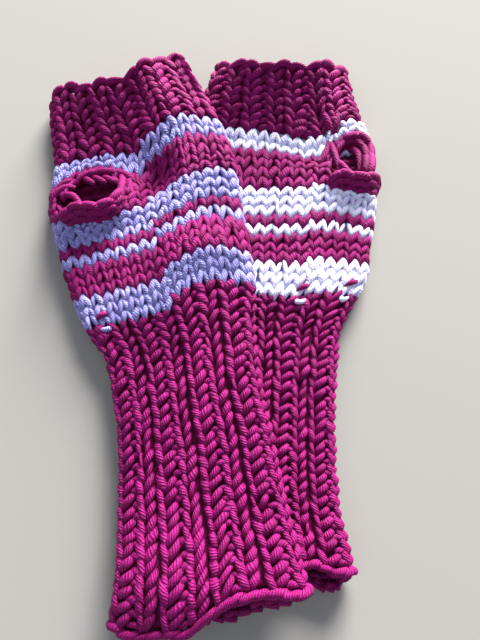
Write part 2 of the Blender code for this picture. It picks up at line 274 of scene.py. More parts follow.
def row_climb(mitt, turn, row):
    """The share of a row by which the screw thread has climbed. It is level at both edges."""
    level = smoothstep(row / HEM_LEVEL_ROWS) * smoothstep((ROWS - 1 - row) / TOP_LEVEL_ROWS)
    slit = slit_share(mitt, turn, row_place(mitt, row))
    return mitt.climb * ((turn - mitt.jog / RING) % 1 - 0.5) * level * (1 - slit)


def slit_share(mitt, turn, along):
    """How far a place takes part in the slit's opening, from 0 to 1. The power rounds its ends."""
    slit = mitt.slit
    way = np.clip((turn % 1 * RING - slit.first) / (slit.last - slit.first), 0, 1)
    reach = np.where(along > slit.along, slit.reach_up, slit.reach_down)
    return np.sin(math.pi * way) ** 0.7 * np.maximum(1 - np.abs(along - slit.along) / reach, 0)


def part_the_slit(mitt, turn, along, above):
    """Pulls the rows below the slit down and pushes the rows above it up."""
    share = slit_share(mitt, turn, along)
    return along + share * np.where(above, mitt.slit.high, -mitt.slit.low)


print("row", SLIT_ROW, "of the left mitt starts at", row_place(LEFT, SLIT_ROW), "mm")

# %% [markdown]
# ## One leg of a stitch
# Seen from the front, a knit stitch is a V of two plump legs of yarn. Each leg comes up from behind
# the row below, bulges out and dives behind the row above. One leg is modelled as a short curve
# with a round bevel and turned into a mesh, which is cheap enough to lay out thousands of times.

# %% Model a leg from five points
MM = 0.001
STITCH, ROW = 4.7, 4.0  # the size of one plain stitch, in millimetres
REPEAT, RIB_ROW = 15.0, 3.83  # the width of knit 2, purl 2 in the cuff, and its row
YARN_TURN = 3.6  # way along the points in which fully twisted plies go once round
LEG_TWIST, STRAND_TWIST = 0.55, 0.42  # how far a leg, and a strand laid by hand, are twisted
# yarn that lies deep gets painted shade in the yarn material
PAINTED_SHADE_BELOW, PAINTED_SHADE_OVER = 0.6, 2.6  # yarn under this height darkens over this depth
Leg = namedtuple("Leg", "points faces uv depth")


def yarn_mesh(mesh, path, twist):
    """Points, faces and UV map of a strand. The map's second direction counts turns of plies."""
    points = np.array([vertex.co for vertex in mesh.vertices])
    faces = [list(face.vertices) for face in mesh.polygons]
    uv = np.array([corner.uv for corner in mesh.uv_layers[0].data])[:, ::-1].copy()
    length = np.linalg.norm(np.diff(np.array(path), axis=0), axis=1).sum()
    uv[:, 1] *= twist * length / YARN_TURN
    return points, faces, uv


def yarn_leg(radius, *path):
    """One leg, along points given as x, y, z and share of the radius, all in millimetres."""
    bpy.ops.object.select_all(action="DESELECT")
    bpy.ops.curve.primitive_nurbs_path_add()
    leg = bpy.context.object
    spline = leg.data.splines[0]
    spline.order_u = 4
    for point, (x, y, z, thick) in zip(spline.points, path):
        point.co = (x, y, z, 1)
        point.radius = thick
    leg.data.bevel_depth = radius
    leg.data.bevel_resolution = 2
    leg.data.resolution_u = 2
    leg.data.use_fill_caps = True
    bpy.ops.object.convert(target="MESH")
    bpy.ops.object.mode_set(mode="EDIT")
    bpy.ops.mesh.select_all(action="SELECT")
    bpy.ops.mesh.remove_doubles(threshold=0.01)
    bpy.ops.mesh.normals_make_consistent(inside=False)
    bpy.ops.object.mode_set(mode="OBJECT")
    points, faces, uv = yarn_mesh(leg.data, [step[:3] for step in path], LEG_TWIST)
    bpy.data.objects.remove(leg)
    return Leg(points, faces, uv, smoothstep((PAINTED_SHADE_BELOW - points[:, 2]) / PAINTED_SHADE_OVER))


def mirrored(leg):
    """The other leg of the V. A mirror turns the faces round, so their corners are turned back."""
    faces, corners, start = [], [], 0
    for face in leg.faces:
        faces.append(face[::-1])
        corners.extend(range(start + len(face) - 1, start - 1, -1))
        start += len(face)
    return Leg(leg.points * (-1, 1, 1), faces, leg.uv[corners] * (-1, 1), leg.depth)


right_leg = yarn_leg(
    1.2, (0.05, -2.9, -1.9, 0.7), (0.35, -1.5, -0.1, 0.95), (1.5, 1.0, 0.35, 1.12),
    (2.8, 3.0, -0.6, 1.0), (2.7, 4.7, -2.6, 0.6),
)
left_leg = mirrored(yarn_leg(
    1.15, (0.05, -2.9, -1.9, 0.7), (0.25, -1.5, -0.1, 0.95), (0.95, 1.2, 0.25, 1.08),
    (1.9, 3.2, -0.6, 1.0), (1.85, 4.8, -2.6, 0.6),
))
print("one leg has", len(right_leg.points), "points and", len(right_leg.faces), "faces")

# %% [markdown]
# ## Lay out the legs
# A leg is drawn in its own small square, in millimetres. Laying it out means reading that square as
# a place in the knitting, which is a share of a turn and a number of rows, and then asking the form
# of the mitt where that place is. NumPy does this for all the copies at once. Each copy is shaded,
# moved and sized a little by chance, because hand knitting is never even.

# %% Copy a leg to many places of the knitting
chance = np.random.default_rng(11)
UNEVEN_SIZE = 0.04  # each copy is larger or smaller by about this share
UNEVEN_SIDES = (0.16, 0.05, 0)  # and by these shares across, along and outwards


def knit_copies(mitt, leg, rings, rows, ring_per_mm, row_size, above=None, lift=0.0, loose=0.2):
    """Points of the copies of a leg, whose squares start at these ring places and rows."""
    rings, rows = np.array(rings, float)[:, None], np.array(rows, float)[:, None]
    count = len(rings)
    sway = chance.normal(0, loose, (3, count, 1))
    shapes = leg.points.reshape(-1, leg.points.shape[-2], 3)
    points = shapes * (1 + chance.normal(0, UNEVEN_SIZE, (count, 1, 1)))
    points = points * (1 + chance.normal(0, UNEVEN_SIDES, (count, 1, 3)))
    # A turn runs to the left on the front of a mitt, so what lies to the right takes from it.
    turn = (rings - (points[..., 0] + sway[0]) * ring_per_mm) / RING
    row = rows + (points[..., 1] + sway[1]) / row_size + row_climb(mitt, rings / RING, rows)
    along = row_place(mitt, row)
    if above is not None:
        along = part_the_slit(mitt, turn, along, np.array(above)[:, None])
    return knit_points(mitt, turn, along, points[..., 2] + lift + 0.6 * sway[2])


# %% Join the copies into one mesh
def joined_copies(name, parts, material):
    """One mesh from several legs and their copies, with a yarn UV map and a shade for each copy."""
    points, faces, uv, shade, depth, start = [], [], [], [], [], 0
    for leg, places in parts:
        count, corners = len(places), len(leg.points)
        points.append(places.reshape(-1, 3))
        for first in range(start, start + count * corners, corners):
            faces += [[first + corner for corner in face] for face in leg.faces]
        turned = np.tile(leg.uv, (count, 1, 1))
        turned[..., 1] += chance.random((count, 1))
        uv.append(turned.reshape(-1, 2))
        shade.append(np.repeat(chance.random(count), corners))
        depth.append(np.tile(leg.depth, count))
        start += count * corners
    mesh = bpy.data.meshes.new(name)
    mesh.from_pydata(np.concatenate(points) * MM, [], faces)
    mesh.uv_layers.new(name="yarn").data.foreach_set("uv", np.concatenate(uv).ravel())
    # shade is a random tone for each copy; depth sets how much painted shade deep yarn gets
    for label, values in (("shade", shade), ("depth", depth)):
        layer = mesh.attributes.new(label, "FLOAT", "POINT")
        layer.data.foreach_set("value", np.concatenate(values))
    mesh.shade_smooth()
    mesh.materials.append(material)
    obj = bpy.data.objects.new(name, mesh)
    bpy.context.scene.collection.objects.link(obj)
    triangles = sum(len(leg.faces) * len(places) * 2 for leg, places in parts)
    print(name, "has about", triangles, "triangles")
    return obj

# %% [markdown]
# ## Yarn
# The mitts are knitted in a smooth plied yarn with a soft sheen. Its plies wind round it, so light
# breaks on thin slanting ridges. The ridges come from the yarn's own UV map: one direction goes
# round the yarn and the other along it. They are bumped, and their tops also get a painted
# highlight and their grooves painted shade, and yarn that lies deep gets more painted shade. Fibres
# make a finer grain, and each stitch has its own random tone. A small class lets the shader's sums
# be written as plain sums.

# %% A socket that can be added and multiplied
class Shade:
    """A value or colour in a material, with the sums that the yarn needs."""

    def __init__(self, tree, socket):
        self.tree, self.socket = tree, socket

    def node(self, kind, settings, inputs, output=0):
        """A new node of this kind. The result is one of its outputs."""
        made = self.tree.nodes.new(kind)
        for key, value in settings.items():
            setattr(made, key, value)
        feed(made, inputs)
        return Shade(self.tree, made.outputs[output])

    def maths(self, operation, *values):
        return self.node("ShaderNodeMath", {"operation": operation}, dict(enumerate(values)))

    def __add__(self, other):
        return self.maths("ADD", self, other)

    def __sub__(self, other):
        return self.maths("SUBTRACT", self, other)

    def __mul__(self, other):
        return self.maths("MULTIPLY", self, other)

    def __gt__(self, other):
        return self.maths("GREATER_THAN", self, other)

    def __lt__(self, other):
        return self.maths("LESS_THAN", self, other)

    def mix(self, first, second):
        """Blends from the first colour to the second by this value."""
        return self.node("ShaderNodeMix", {"data_type": "RGBA"}, {0: self, 6: first, 7: second}, 2)


def feed(node, inputs):
    """Sets the inputs of a node. A Shade is linked to its input, and anything else is a value."""
    for key, value in inputs.items():
        if isinstance(value, Shade):
            value.tree.links.new(value.socket, node.inputs[key])
        else:
            node.inputs[key].default_value = value


def new_material(name):
    """A material, a Shade from which its sums can start, and its shader."""
    material = bpy.data.materials.new(name)
    material.use_nodes = True
    tree = material.node_tree
    return material, Shade(tree, None), tree.nodes["Principled BSDF"]


def uv_directions(start, name):
    """Both directions of a UV map, as two values."""
    uv_map = start.node("ShaderNodeUVMap", {"uv_map": name}, {})
    first = start.node("ShaderNodeSeparateXYZ", {}, {0: uv_map})
    return first, Shade(start.tree, first.socket.node.outputs[1])


# %% The three yarns
PLIES = 6  # ridges round a yarn
# tones above this give the painted highlight on the ridges
LIGHT_FROM = 0.62  # the tone from which the lightest colour comes in


def yarn(name, dark, mid, light, sheen, sunken):
    """A plied yarn, from painted shade in its grooves to a painted highlight on its ridges. Deep
    yarn gets painted shade by sunken.
    """
    material, start, shader = new_material(name)
    around, along = uv_directions(start, "yarn")
    place = start.node("ShaderNodeTexCoord", {}, {}, "Object")
    fibre = start.node("ShaderNodeTexNoise", {}, {"Vector": place, "Scale": 2600.0, "Detail": 2.0})
    patch = start.node("ShaderNodeTexNoise", {}, {"Vector": place, "Scale": 330.0, "Detail": 3.0})
    wobble = (patch - 0.5) * 9.0
    ply = start.maths("COSINE", (around + along) * (2 * math.pi * PLIES) + wobble)
    ply = ply * 0.5 + 0.5
    ridge = start.maths("POWER", ply, 0.85)
    copy = start.node("ShaderNodeAttribute", {"attribute_name": "shade"}, {}, "Fac")
    depth = start.node("ShaderNodeAttribute", {"attribute_name": "depth"}, {}, "Fac")
    # The ply ridges are painted lighter and the grooves darker: painted highlight and painted shade.
    # Fibre, patch and copy add random tone, and depth adds painted shade to deep yarn.
    tone = ridge * 0.55 + (fibre - 0.5) * 1.9 + copy * 0.2 + (patch - 0.5) * 0.8
    tone = tone - depth * sunken + 0.16
    colour = tone.mix((*dark, 1), (*mid, 1))
    # glint turns the ridge tops to the light colour: a painted highlight
    glint = start.maths("SMOOTH_MIN", tone - LIGHT_FROM, 0.6, 0.1) * 1.6
    colour = glint.mix(colour, (*light, 1))
    relief = {"Strength": 0.7, "Distance": 0.0003, "Height": ridge + fibre * 1.2}
    feed(shader, {
        "Base Color": colour,
        "Normal": start.node("ShaderNodeBump", {}, relief),
        "Roughness": 0.62,
        "Specular IOR Level": 0.14,
        "Subsurface Weight": 0.3,
        "Subsurface Radius": (1.0, 0.3, 0.6),
        "Subsurface Scale": 0.0012,
        "Sheen Weight": 0.05,
        "Sheen Roughness": 0.45,
        "Sheen Tint": (*sheen, 1),
    })
    return material


# Per yarn: painted shade of grooves and deep yarn, its own colour, painted highlight of ridges,
# sheen tint, and how much painted shade deep yarn gets.
crimson = yarn(
    "crimson_yarn",
    (0.115, 0.002, 0.049), (0.265, 0.003, 0.120), (0.36, 0.011, 0.185), (1.0, 0.1, 0.5), 0.2,
)
lavender = yarn(
    "lavender_yarn",
    (0.13, 0.11, 0.30), (0.34, 0.31, 0.70), (0.56, 0.56, 0.92), (0.8, 0.8, 1.0), 0.6,
)
white = yarn(
    "white_yarn",
    (0.50, 0.47, 0.82), (0.85, 0.84, 0.99), (0.97, 0.97, 1.0), (1.0, 1.0, 1.0), 0.8,
)
PAIR = ((LEFT, lavender), (RIGHT, white))  # each mitt and the yarn of its stripes
print("three yarns of", PLIES, "ridges each")

# %% [markdown]
# ## The plain hand
# The hand is all knit stitches. Its colours change by whole rows: three of the contrast colour,
# three crimson, one, one and three again, then the crimson rows that hold the slit, and two last
# rows of the contrast.

# %% Lay the rows of both hands
RIB_AT = -0.5  # ring place of the middle of the first knit pair
CONTRAST_ROWS = [row for first, end in STRIPES for row in range(first, end)]
CRIMSON_ROWS = [row for row in HAND_ROWS if row not in CONTRAST_ROWS]
STITCH_RINGS = [RIB_AT + RING_PER_STITCH * (stitch - 0.5) for stitch in range(STITCHES)]
BY_HAND_ROW, BY_HAND_FROM, BY_HAND_TO = 42, 16.4, 18.2  # one stitch of the right mitt's stripe


def left_to_the_lips(mitt, ring, row):
    """Whether a stitch is left to the strands of the lips instead: those at the slit, and one in the
    right stripe.
    """
    if mitt is RIGHT and row == BY_HAND_ROW and BY_HAND_FROM < ring < BY_HAND_TO:
        return True
    return row in (SLIT_ROW - 1, SLIT_ROW) and mitt.slit.first + 0.7 < ring < mitt.slit.last - 1.2


def hand_rows(mitt, name, rows, material):
    """All the knit stitches of these rows of the hand, as one mesh."""
    places = [(ring, row) for row in rows for ring in STITCH_RINGS]
    rings, starts = zip(*[place for place in places if not left_to_the_lips(mitt, *place)])
    above = [row >= SLIT_ROW for row in starts]
    parts = [
        (leg, knit_copies(mitt, leg, rings, starts, RING_PER_STITCH / STITCH, ROW, above))
        for leg in (left_leg, right_leg)
    ]
    return joined_copies(f"{mitt.name}_{name}", parts, material)


pieces = {"left": [], "right": []}
for mitt, contrast in PAIR:
    pieces[mitt.name].append(hand_rows(mitt, "hand_stripes", CONTRAST_ROWS, contrast))
    pieces[mitt.name].append(hand_rows(mitt, "hand_rows", CRIMSON_ROWS, crimson))

# %% [markdown]
# ## The ribs
# In the cuff two knit columns stand side by side and the two purl columns behind them fold away
# into a dark gap. The legs aren't alike: the left leg of each stitch runs almost straight up like a
# cord, the right leg of the first stitch is small, and the last leg before the gap is big and
# slants, because the yarn is slack where it passes from knit to purl.

# %% Four knit legs and one purl bump for the ribs
purl_bump = yarn_leg(
    1.2, (-1.9, -0.4, -1.6, 0.9), (-0.9, 0.2, -0.7, 1.0), (0.0, 0.6, -0.3, 1.05),
    (0.9, 0.2, -0.7, 1.0), (1.9, -0.4, -1.6, 0.9),
)
slack_cord = yarn_leg(
    1.2, (0.5, -1.4, -1.9, 0.75), (0.45, -0.4, -0.3, 1.0), (0.0, 1.8, 0.1, 1.08),
    (-0.45, 3.6, -0.2, 1.0), (-0.5, 4.9, -1.7, 0.75),
)
slack_small = yarn_leg(
    1.22, (-1.4, -0.9, -2.1, 0.7), (-0.9, 0.2, -0.5, 1.0), (0.0, 1.9, 0.1, 1.1),
    (0.9, 3.3, -0.5, 1.0), (1.3, 4.3, -2.1, 0.7),
)
slack_big = yarn_leg(
    1.34, (-2.3, -0.7, -2.2, 0.7), (-1.7, 0.1, -0.5, 1.0), (0.0, 1.7, 0.4, 1.12),
    (1.7, 3.1, -0.4, 1.0), (2.2, 3.9, -2.2, 0.7),
)
even_cord = yarn_leg(
    1.2, (1.1, -1.5, -2.1, 0.7), (0.9, -0.5, -0.4, 1.0), (0.0, 1.7, 0.2, 1.12),
    (-1.0, 3.5, -0.4, 1.0), (-1.1, 4.8, -2.1, 0.7),
)
even_small = yarn_leg(
    1.22, (-1.3, -1.2, -2.1, 0.7), (-1.0, -0.2, -0.5, 1.0), (0.0, 1.7, 0.2, 1.12),
    (1.1, 3.3, -0.4, 1.0), (1.3, 4.4, -2.1, 0.7),
)
even_big = yarn_leg(
    1.34, (-1.7, -1.0, -2.1, 0.7), (-1.3, 0.0, -0.5, 1.0), (0.0, 1.7, 0.4, 1.12),
    (1.4, 3.3, -0.4, 1.0), (1.7, 4.3, -2.1, 0.7),
)
RIB_LEGS = [  # place across the repeat, and the leg, at the hem and where the rib is stretched
    (-5.6, slack_cord, -5.0, even_cord),
    (-2.3, slack_small, -2.0, even_small),
    (1.8, slack_cord, 1.4, even_cord),
    (5.1, slack_big, 4.7, even_big),
]
PURL_AT = 8.2  # place of the purl bump across the repeat
print("the legs of one rib lie", [leg[0] for leg in RIB_LEGS], "mm from its middle")

# %% Lay the rows of the ribs
TOP_RIB_AT = {"left": RIB_AT + 2.2, "right": RIB_AT}  # the left top is turned a little


def rib_rows(mitt, name, rows, at, evenness):
    """Rows of knit 2, purl 2, with the middle of the first knit pair at a ring place."""
    starts = [row for row in rows for repeat in range(REPEATS)]
    share = np.repeat([evenness(row) for row in rows], REPEATS)[:, None, None]
    above = [row >= SLIT_ROW for row in starts]
    ring_per_mm = RING_PER_RIB / REPEAT
    middles = np.tile(np.arange(REPEATS) * RING_PER_RIB + at, len(rows))
    parts = []
    for slack_at, slack, even_at, even in RIB_LEGS:
        offset = slack_at + (even_at - slack_at) * share[:, 0, 0]
        shaped = slack._replace(points=slack.points + (even.points - slack.points) * share)
        rings = middles - offset * ring_per_mm
        copies = knit_copies(mitt, shaped, rings, starts, ring_per_mm, RIB_ROW, above, loose=0.27)
        parts.append((slack, copies))
    rings = middles - PURL_AT * ring_per_mm
    copies = knit_copies(mitt, purl_bump, rings, starts, ring_per_mm, RIB_ROW, above)
    parts.append((purl_bump, copies))
    return joined_copies(f"{mitt.name}_{name}", parts, crimson)


def cuff_evenness(row):
    """The rib of the cuff is slack up to row 18 and is stretched evenly from row 26."""
    return smoothstep((row - 18) / 8)


for mitt in (LEFT, RIGHT):
    top_at = TOP_RIB_AT[mitt.name]
    pieces[mitt.name].append(rib_rows(mitt, "cuff_rows", CUFF_ROWS, RIB_AT, cuff_evenness))
    pieces[mitt.name].append(rib_rows(mitt, "top_rows", TOP_ROWS, top_at, lambda row: 1.0))

# %% [markdown]
# ## The edges
# The cast-on edge is a row of strands that lie along the hem like a rope. The bind-off edge is a
# chain: each link is a strand that arches over about two stitches and starts behind the last one.
# It swings up over each rib.

# %% Strands that lie along an edge
rope_strand = yarn_leg(
    1.28, (-3.9, -0.9, -1.3, 0.75), (-2.1, -0.6, 0.2, 1.0), (0.0, 0.1, 0.6, 1.08),
    (2.1, 0.7, 0.2, 1.0), (3.9, 0.9, -1.3, 0.75),
)
link = yarn_leg(
    1.35, (-4.3, -1.3, -1.8, 0.75), (-2.7, 0.2, -0.1, 1.0), (0.2, 1.5, 0.5, 1.1),
    (2.8, 0.7, 0.2, 1.0), (4.3, -0.9, -1.6, 0.75),
)
# Each edge: its strand, copies in a round, ring places to a millimetre and swing over each rib.
ROPE = (rope_strand, 32, 0.34, 0.6)
LINKS = (link, 20, 0.42, 0.9)
# The outer and the inner round of it: a level along the mitt, and how far out from its face.
ROPE_ROUNDS = [(1.9, 0.0), (1.4, -2.4)]
LINK_ROUNDS = [(-2.6, -0.6), (-3.2, -2.6)]  # these levels count from the finger edge
UNEVEN_STRAND, STRAND_SHIFT = 0.06, 0.22  # by chance, a share of its size and a way in millimetres


def along_edge(mitt, edge, level, out, at):
    """Copies of a strand all round an edge, whose swing follows the ribs that start at a place."""
    strand, count, ring_per_mm, scallop = edge
    rings = (np.arange(count) * RING / count)[:, None]
    points = strand.points[None] * (1 + chance.normal(0, UNEVEN_STRAND, (count, 1, 1)))
    points = points + chance.normal(0, STRAND_SHIFT, (count, 1, 3))
    turn = (rings - points[..., 0] * ring_per_mm) / RING
    swing = scallop * np.cos(2 * math.pi * (turn * REPEATS - at / RING_PER_RIB))
    return strand, knit_points(mitt, turn, level + swing + points[..., 1], points[..., 2] + out)


for mitt in (LEFT, RIGHT):
    end, top_at = mitt.rows[-1][1], TOP_RIB_AT[mitt.name]
    cast_on = [along_edge(mitt, ROPE, level, out, RIB_AT) for level, out in ROPE_ROUNDS]
    bind_off = [along_edge(mitt, LINKS, end + level, out, top_at) for level, out in LINK_ROUNDS]
    edge_pieces = [
        joined_copies(f"{mitt.name}_cast_on", cast_on, crimson),
        joined_copies(f"{mitt.name}_bind_off", bind_off, crimson),
    ]
    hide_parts(f"{mitt.name}_cast_on_edge")
    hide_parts(f"{mitt.name}_bind_off_edge")
    pieces[mitt.name] += edge_pieces

# %% [markdown]
# ## The lips of the thumb slit
# Round the slit the yarn is pulled about: its lower edge rolls outwards, its upper edge is a single
# stretched strand with loops below it, and large loops close both ends. Each strand is laid one by
# one, over places given as ring and along, and its ends dive into the cloth. The strands of the
# rolled edges are made up of short links that overlap, as the loops of a bound edge do.

# %% Lay a strand over a few places
END_DIVE = 2.0  # the ends of a laid strand lie this much lower


def laid_strand(mitt, radius, lift, places):
    """One strand of yarn laid over places, so far out from the face of the mitt."""
    ring, along = np.array(places, float).T
    out = np.full(len(ring), float(lift))
    out[[0, -1]] = lift - END_DIVE
    path = knit_points(mitt, ring / RING, along, out)
    bpy.ops.object.select_all(action="DESELECT")
    bpy.ops.curve.primitive_nurbs_path_add()
    laid = bpy.context.object
    spline = laid.data.splines[0]
    if len(path) < len(spline.points):
        laid.data.splines.remove(spline)
        spline = laid.data.splines.new("NURBS")
    spline.points.add(len(path) - len(spline.points))
    for point, place in zip(spline.points, path):
        point.co = (*place, 1)
        point.radius = 1.0
    spline.points[0].radius = spline.points[-1].radius = 0.7
    spline.order_u = min(4, len(path))
    spline.use_endpoint_u = True
    laid.data.bevel_depth = radius
    laid.data.bevel_resolution = 2
    laid.data.resolution_u = 5
    laid.data.use_fill_caps = True
    laid.data.dimensions = "3D"
    bpy.ops.object.convert(target="MESH")
    points, faces, uv = yarn_mesh(laid.data, path, STRAND_TWIST)
    bpy.data.objects.remove(laid)
    # lower strands get more painted shade through this depth
    depth = 1.6 * smoothstep((1.2 - lift) / 1.8)  # strands that lie lower are darker
    return Leg(points, faces, uv, np.full(len(points), depth)), points[None]


# %% The rolled edges below the slits
LINK_SHARES = np.array([-0.3, 0.05, 0.5, 0.95, 1.2])  # five points of a link along its share
LINK_RISES = np.array([1.0, 0.3, 0.5, -0.2, -1.2])  # and how far above the strand's line they lie


def chain(count, radius, lift, places):
    """One strand's places as overlapping links, each from behind the last one to under the next."""
    ring, along = np.array(places, float).T
    share = np.linspace(0, 1, len(ring))
    links = []
    for number in range(count):
        at = np.clip((number + LINK_SHARES) / count, 0, 1)
        level = np.interp(at, share, along) + LINK_RISES
        links.append((radius, lift, list(zip(np.interp(at, share, ring), level))))
    return links


LOWER_LIPS = {  # radius, lift and places of each strand
    "left": [
        *chain(5, 1.55, 1.3, [
            (33.9, 146.6), (33.0, 148.4), (32.0, 150.0), (30.7, 149.4), (29.7, 148.0),
            (28.8, 147.5), (27.7, 148.5), (26.8, 150.6), (26.2, 153.4),
        ]),
        *chain(5, 1.45, 0.6, [
            (33.6, 144.8), (32.4, 147.4), (30.9, 147.0), (29.9, 145.6), (28.8, 145.2),
            (27.7, 146.2), (26.8, 148.0), (26.2, 150.6),
        ]),
        *chain(5, 1.45, -0.3, [
            (33.2, 143.0), (32.2, 145.2), (31.0, 144.6), (29.9, 143.4), (28.9, 143.0),
            (27.8, 143.8), (26.8, 145.8),
        ]),
        (1.35, 1.3, [(33.3, 156.6), (32.5, 156.2), (31.6, 154.8), (31.1, 151.4)]),
    ],
    "right": [
        *chain(5, 1.6, 1.5, [
            (18.3, 145.0), (17.6, 148.8), (16.8, 149.6), (15.9, 148.4), (14.9, 147.8),
            (13.8, 148.6), (12.7, 149.2), (12.0, 148.2), (11.6, 145.2),
        ]),
        *chain(5, 1.5, 0.5, [
            (18.0, 143.4), (16.9, 146.9), (15.8, 145.6), (14.9, 145.2), (13.8, 145.8),
            (12.6, 146.4), (11.8, 143.8),
        ]),
        *chain(5, 1.45, -0.5, [
            (17.6, 141.4), (16.4, 144.2), (15.2, 143.0), (13.8, 143.2), (12.6, 143.8),
            (11.8, 141.4),
        ]),
        (1.4, 1.0, [(17.4, 158.2), (17.0, 155.4), (16.6, 152.8), (15.9, 149.6)]),
        (1.5, 1.2, [(17.9, 168.0), (17.6, 163.8), (17.4, 159.0), (17.2, 152.8)]),
        (1.45, 1.0, [(17.8, 168.0), (18.2, 163.8), (18.9, 159.0), (19.4, 155.4)]),
    ],
}
print("strands below the slits:", {name: len(strands) for name, strands in LOWER_LIPS.items()})

# %% The strands above the slits
UPPER_LIPS = {
    "left": [
        (1.45, 1.4, [(32.1, 160.6), (31.4, 163.2), (30.3, 164.2), (29.0, 163.4)]),
        (1.5, 1.3, [(30.6, 162.8), (29.4, 164.2), (27.8, 163.4), (26.4, 161.4)]),
        (1.45, 1.2, [(27.8, 162.6), (26.6, 162.4), (25.3, 160.2), (24.6, 156.6)]),
        (1.35, 0.6, [(31.3, 163.2), (30.8, 161.2), (30.2, 159.8), (29.6, 159.2)]),
        (1.35, 0.5, [(30.1, 162.6), (29.5, 160.8), (28.8, 159.4), (28.2, 158.8)]),
        (1.35, 0.4, [(28.8, 162.0), (28.2, 160.2), (27.5, 158.8), (26.9, 158.2)]),
        (1.3, 0.4, [(27.6, 161.2), (27.1, 159.2), (26.4, 156.6)]),
        (1.4, 1.2, [(32.2, 161.8), (33.2, 162.4), (34.2, 161.2), (34.9, 158.2)]),
        (1.4, 1.1, [(32.0, 159.0), (32.9, 159.8), (33.9, 158.8), (34.7, 155.8), (34.9, 152.6)]),
        (1.45, 1.4, [(26.5, 161.2), (26.0, 158.0), (26.2, 154.6), (26.4, 150.4), (26.6, 146.4)]),
        (1.35, 0.9, [(25.3, 160.4), (25.5, 156.0), (25.2, 152.5), (24.9, 149.4)]),
    ],
    "right": [
        *chain(4, 1.6, 0.9, [
            (15.9, 166.4), (14.7, 168.0), (13.5, 167.4), (12.8, 164.6), (12.8, 161.0),
            (13.2, 156.6), (13.6, 151.4),
        ]),
        *chain(4, 1.5, -0.4, [
            (16.0, 164.8), (14.9, 166.0), (13.9, 164.4), (13.5, 161.4), (13.7, 157.4),
            (14.2, 152.0),
        ]),
        (1.6, -2.0, [(15.8, 163.4), (15.0, 163.8), (14.5, 162.0), (14.3, 158.6), (14.6, 154.0)]),
        (1.45, 0.6, [(17.3, 161.0), (16.8, 164.0), (16.2, 165.8), (15.2, 167.2)]),
        (1.7, 0.9, [(18.2, 181.0), (17.9, 177.0), (17.6, 173.6), (17.3, 169.6)]),
        (1.7, 0.8, [(16.0, 181.0), (16.4, 177.0), (16.9, 173.4), (17.3, 169.6)]),
        (1.6, -0.4, [(17.0, 181.0), (17.1, 177.0), (17.3, 171.4)]),
    ],
}
for mitt in (LEFT, RIGHT):
    for side, lips in (("lower", LOWER_LIPS), ("upper", UPPER_LIPS)):
        strands = [laid_strand(mitt, *strand) for strand in lips[mitt.name]]
        lip = joined_copies(f"{mitt.name}_{side}_lip_yarn", strands, crimson)
        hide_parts(f"{mitt.name}_thumb_{side}_lip")
        pieces[mitt.name].append(lip)

# %% [markdown]
# ## Where the colours meet, and the inside
# Above a few gaps of the ribs the first row of the stripe sinks in, and crimson and stripe yarn show
# as short dashes. The inside of a mitt shows the backs of the stitches, which are small bumps. They
# are laid only where they can be seen: behind the hem, behind the finger edge and behind the slit.

# %% Dashes at the end of the ribs
smile = yarn_leg(
    1.0, (-2.6, 2.2, -1.8, 0.7), (-1.5, 0.7, 0.2, 1.0), (0.0, -0.2, 0.6, 1.05),
    (1.5, 0.7, 0.2, 1.0), (2.6, 2.2, -1.8, 0.7),
)
dash = yarn_leg(
    1.0, (-2.2, -0.8, -1.6, 0.7), (-1.2, -0.3, 0.2, 1.0), (0.0, 0.1, 0.5, 1.05),
    (1.2, 0.5, 0.2, 1.0), (2.2, 0.9, -1.6, 0.7),
)
SUNKEN = {"left": [32.5], "right": [14.5, 20.5]}  # ring places of these gaps
DASH_ROW, SMILE_ROW = 26.6, 25.1
DASH_RING_PER_MM = 0.34
for mitt, contrast in PAIR:
    gaps = SUNKEN[mitt.name]
    dash_rows, smile_rows = [DASH_ROW] * len(gaps), [SMILE_ROW] * len(gaps)
    dashes = knit_copies(mitt, dash, gaps, dash_rows, DASH_RING_PER_MM, ROW, lift=1.0)
    smiles = knit_copies(mitt, smile, gaps, smile_rows, DASH_RING_PER_MM, ROW, lift=0.4)
    pieces[mitt.name] += [
        joined_copies(f"{mitt.name}_sunken_dashes", [(dash, dashes)], crimson),
        joined_copies(f"{mitt.name}_sunken_loops", [(smile, smiles)], contrast),
    ]

# %% Purl bumps inside
inner_bump = yarn_leg(
    1.0, (-2.0, -0.4, -2.4, 0.9), (-1.0, 0.3, -3.1, 1.0), (0.0, 0.7, -3.4, 1.05),
    (1.0, 0.3, -3.1, 1.0), (2.0, -0.4, -2.4, 0.9),
)
BEHIND_SLIT = {"left": range(38, 47), "right": range(3, 11)}  # ring places of the far side


def inner_bumps(mitt, name, rings, rows, material):
    """Purl bumps on the inside of the cloth, at all these ring places of these rows."""
    places = [(ring, row) for row in rows for ring in rings]
    copies = knit_copies(mitt, inner_bump, *zip(*places), RING_PER_STITCH / STITCH, ROW)
    return joined_copies(f"{mitt.name}_{name}", [(inner_bump, copies)], material)


for mitt, contrast in PAIR:
    behind = BEHIND_SLIT[mitt.name]
    pieces[mitt.name] += [
        inner_bumps(mitt, "inside_hem", STITCH_RINGS, [0, 1, 2, 47, 48, 49], crimson),
        inner_bumps(mitt, "inside_hand", behind, [37, 38, 39, 40], crimson),
        inner_bumps(mitt, "inside_stripes", behind, [35, 36, 41, 42], contrast),
    ]
